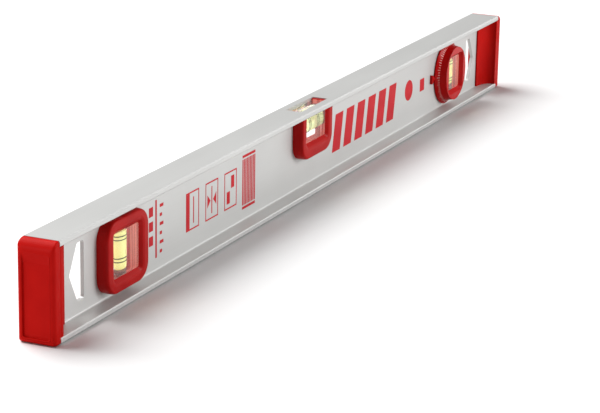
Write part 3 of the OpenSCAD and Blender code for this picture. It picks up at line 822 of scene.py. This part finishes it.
def lying_vial():
    """The level vial: its block has a neck in the flange's window, and its bubble lies on top."""
    block_low, block_high = span("centre_vial_block")
    fluid_low, fluid_high = span("centre_vial_fluid")
    plug_low, plug_high = span("centre_vial_plug")
    axis = Vector((0, 0, (fluid_low.z + fluid_high.z) / 2))
    bore_r = (fluid_high.y - fluid_low.y) / 2
    end_r = bore_r - BORE_CLEAR
    half_y = block_high.y + SEATED / 4
    foot = block_low.z - SEATED
    shoulder = level_h - FLANGE_ROOT_T - SHOULDER_GAP
    section = [
        (half_y, foot), (half_y, shoulder), (NECK_HALF_W, shoulder), (NECK_HALF_W, block_high.z),
        (-NECK_HALF_W, block_high.z), (-NECK_HALF_W, shoulder), (-half_y, shoulder), (-half_y, foot),
    ]
    bm = bmesh.new()
    left, right = block_low.x - SEATED, block_high.x + SEATED
    prism(bm, section, lambda p: (left, p[0], p[1]), lambda p: (right, p[0], p[1]))
    bevel_sharp(bm, CENTRE_BEVEL, 3)
    add_piece("centre_block_clear", bm, CLEAR_BLOCK, LEVEL, ("centre_vial_block",))
    fluid = rounded_ends(
        fluid_low.x + FLUID_CLEAR, fluid_high.x - FLUID_CLEAR, end_r, LYING_FOOT_R, LYING_EDGE_R, BARREL)
    turned_solid("centre_fluid", axis, "x", fluid, SHADED_FLUID, LEVEL, ("centre_vial_fluid",))
    vial_markings("centre_rings", axis, "x", bore_r, LEVEL, ("centre_vial_rings",))
    groove_r = end_r - SEAL_GROOVE_D
    # From the left: a chamfer, the body with its groove, and a chamfered end.
    plug = [
        (plug_low.x + 0.1, end_r - 0.4), (plug_low.x + 0.5, end_r), (plug_low.x + 1.2, end_r),
        (plug_low.x + 1.4, groove_r), (plug_low.x + 2.0, groove_r), (plug_low.x + 2.2, end_r),
        (plug_high.x - 0.3, end_r), (plug_high.x, end_r - 0.3),
    ]
    turned_solid("centre_plug", axis, "x", plug, PLUG_GREY, LEVEL, ("centre_vial_plug",))
    bubble_at = axis + Vector((0, 0, bore_r - BUBBLE_R - BUBBLE_CLEAR))
    bubble = []
    for i in range(BUBBLE_STEPS + 1):
        angle = math.radians(180 * i / BUBBLE_STEPS)
        radius = BUBBLE_R * math.sin(angle) ** BUBBLE_BLUNTNESS
        bubble.append((-BUBBLE_HALF_L * math.cos(angle), max(radius, BUBBLE_TIP_R)))
    turned_solid("centre_bubble", bubble_at, "x", bubble, BUBBLE, LEVEL)


lying_vial()


# ---- Pointers ----

POINTER_BAR_W = 1.5
POINTER_BEVEL = 0.3


def pointer(node, side):
    """Arrow beside the dial: a bar behind a triangular head."""
    low, high = span(node)
    centre_z = (low.z + high.z) / 2
    top_y = max(abs(low.y), abs(high.y))
    half_h = (high.z - low.z) / 2
    shoulder = low.x + POINTER_BAR_W
    outline = [(low.x, -half_h), (shoulder, -half_h), (high.x, 0), (shoulder, half_h), (low.x, half_h)]
    bm = bmesh.new()
    prism(
        bm, outline,
        lambda p: (p[0], side * web_y, centre_z + p[1]),
        lambda p: (p[0], side * top_y, centre_z + p[1]),
    )
    bevel_sharp(bm, POINTER_BEVEL)
    add_piece(node + "_moulding", bm, HOUSING_RED, LEVEL, (node,))


pointer("front_pointer", FRONT)
pointer("rear_pointer", REAR)


# ---- Printed marks on the front of the web, placed by x and z ----

INK_T = 0.04
INK_ROOT = 0.01        # how far the ink runs into the web
BOX_LINE = 0.8
BOX_CLEAR = 0.04       # between a box's line and what fills it


def print_mark(name, outlines, frames=()):
    """Flat ink shapes on the web.

    An outline is a list of (x, z) points, and a frame is a pair of them, outer and inner.
    """
    bm = bmesh.new()
    foot, top = -web_y + INK_ROOT, -web_y - INK_T
    for outline in outlines:
        prism(bm, outline, lambda p: (p[0], foot, p[1]), lambda p: (p[0], top, p[1]))
    for outer, inner in frames:
        loft(bm, [[(x, y, z) for x, z in ring]
                  for ring, y in ((outer, foot), (outer, top), (inner, top), (inner, foot))])
    add_piece(name, bm, PRINT_RED, LEVEL)


def bar(x0, z0, x1, z1, lean=0.0):
    """Outline of a bar between two corners, whose top is shifted by lean."""
    return [(x0, z0), (x1, z0), (x1 + lean, z1), (x0 + lean, z1)]


def box_frame(x0, z0, x1, z1, line):
    """Outer and inner outline of a box drawn with a line."""
    return bar(x0, z0, x1, z1), bar(x0 + line, z0 + line, x1 - line, z1 - line)


def left_marks():
    """A long line, with a column of three squares before it and a column of dashes after it."""
    marks = [bar(-185.2, 9.9, -183.6, 40.3)]
    dash_pitch = 4.8
    for i in range(6):
        dash_end = -176.5 if i % 2 else -178.0
        marks.append(bar(-180.5, 11.5 + dash_pitch * i, dash_end, 13.2 + dash_pitch * i))
    square_pitch = 7.6
    for i in range(3):
        marks.append(bar(-192.0, 17.5 + square_pitch * i, -187.6, 22.5 + square_pitch * i))
    print_mark("print_left_marks", marks)


def pictograms():
    """Three boxes: one with a filled strip and a line, one with two arrows and one with two blocks."""
    low, high, width = 14.3, 35.0, 14.8
    boxes = (-151.7, -129.5, -107.3)
    frames = [box_frame(x, low, x + width, high, BOX_LINE) for x in boxes]
    inset = BOX_LINE + BOX_CLEAR
    marks = [
        bar(boxes[0] + inset, low + inset, -147.6, high - inset),
        bar(-143.6, 17.5, -142.6, 31.8),
        bar(-122.6, 17.2, -121.6, 32.1),
        [(-127.3, 21.0), (-123.6, 24.6), (-127.3, 28.2)],
        [(-116.9, 21.0), (-116.9, 28.2), (-120.6, 24.6)],
        bar(-104.4, 17.2, -100.6, 24.0),
        bar(-99.3, 25.3, -95.5, 32.1),
    ]
    print_mark("print_pictograms", marks, frames)


def hatched_block():
    """Evenly spaced upright lines between two rules."""
    left, right = -85.5, -69.5
    line_w, pitch = 1.25, 1.84
    marks = [bar(left, 9.5, right, 11.0), bar(left, 38.3, right, 39.8)]
    for i in range(9):
        x = left + pitch * i
        marks.append(bar(x, 11.8, x + line_w, 37.5))
    print_mark("print_hatched_block", marks)


def slanted_bars():
    """Six wide bars that lean to the right."""
    width, pitch, lean = 11.5, 16.6, 4.5
    marks = []
    for i in range(6):
        x = 35.0 + pitch * i
        marks.append(bar(x, 13.0, x + width, 35.5, lean))
    print_mark("print_slanted_bars", marks)


def disc_mark():
    """A plain disc and a small rectangle beyond the bars."""
    disc = arc(155.0, 26.0, 6.6, 0, 360, 48)[:-1]
    print_mark("print_disc_mark", [disc, bar(174.0, 21.0, 181.5, 29.0)])


left_marks()
pictograms()
hatched_block()
slanted_bars()
disc_mark()


# ---- Floor, light and camera ----

def floor():
    """A plain pale sheet, just under the level."""
    half = 4.0
    gap = 0.0002
    mesh = bpy.data.meshes.new("floor")
    corners = [(-half, -half, 0), (half, -half, 0), (half, half, 0), (-half, half, 0)]
    mesh.from_pydata(corners, [], [(0, 1, 2, 3)])
    shader = Shader("floor_paper")
    shader.set(Base_Color=(0.93, 0.93, 0.93, 1), Roughness=0.9, Specular_IOR_Level=0.1)
    mesh.materials.append(shader.material)
    obj = bpy.data.objects.new("floor", mesh)
    bpy.context.collection.objects.link(obj)
    obj.location.z = -gap
    return obj


def world_light(strength):
    """Even white light from all round."""
    world = bpy.data.worlds.new("studio")
    world.use_nodes = True
    background = world.node_tree.nodes["Background"]
    background.inputs["Color"].default_value = (1, 1, 1, 1)
    background.inputs["Strength"].default_value = strength
    bpy.context.scene.world = world


def area_light(name, place, target, size, watts, lights=(), skips=()):
    """A round soft light. It can be kept to the objects that it lights, or off those that it skips."""
    data = bpy.data.lights.new(name, "AREA")
    data.shape = "DISK"
    data.size = size
    data.energy = watts
    light = bpy.data.objects.new(name, data)
    light.location = place
    light.rotation_euler = (Vector(target) - Vector(place)).to_track_quat("-Z", "Y").to_euler()
    bpy.context.collection.objects.link(light)
    if lights or skips:
        group = bpy.data.collections.new(name + "_receivers")
        for obj in lights or skips:
            group.objects.link(obj)
        for member in group.collection_objects:
            member.light_linking.link_state = "INCLUDE" if lights else "EXCLUDE"
        light.light_linking.receiver_collection = group


def camera():
    """The camera in front of the level's left end, with its yaw, pitch and roll in degrees."""
    data = bpy.data.cameras.new("camera")
    data.lens = 136.29
    data.sensor_width = 36
    obj = bpy.data.objects.new("camera", data)
    bpy.context.collection.objects.link(obj)
    yaw, pitch, roll = (math.radians(a) for a in (65.706, 16.247, 1.038))
    turn = (Matrix.Rotation(-yaw, 4, "Z") @ Matrix.Rotation(math.pi / 2 - pitch, 4, "X")
            @ Matrix.Rotation(roll, 4, "Z"))
    obj.matrix_world = Matrix.Translation((-1.15024, -0.51610, 0.35658)) @ turn
    bpy.context.scene.camera = obj


ground = floor()
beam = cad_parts["beam"]
blocks = [bpy.data.objects[unit + "_block_clear"] for unit in ("plumb", "centre", "dial")]
near_cap = bpy.data.objects["left_end_cap_moulding"]
world_light(0.3)
area_light("key", (0, 1.0, 1.5), (0, 0, 0), 1.8, 50)
area_light("plastics", (0.9, -1.5, 0.8), (0, 0, 0.02), 1.0, 30, skips=(ground, beam))
area_light("web", (0.5, -1.8, 0.7), (0, 0, 0.02), 1.2, 40, lights=(beam,))
area_light("edges", (2.0, -0.6, 0.9), (0, 0, 0.02), 0.8, 5, lights=(beam,))
area_light("blocks", (2.2, 1.0, 0.7), (0, 0, 0.02), 1.5, 14, lights=blocks)
area_light("end", (-1.7, 0.6, 0.6), (-0.3, 0, 0.02), 0.6, 10, lights=(near_cap,))
camera()
bpy.context.scene.view_settings.view_transform = "Standard"
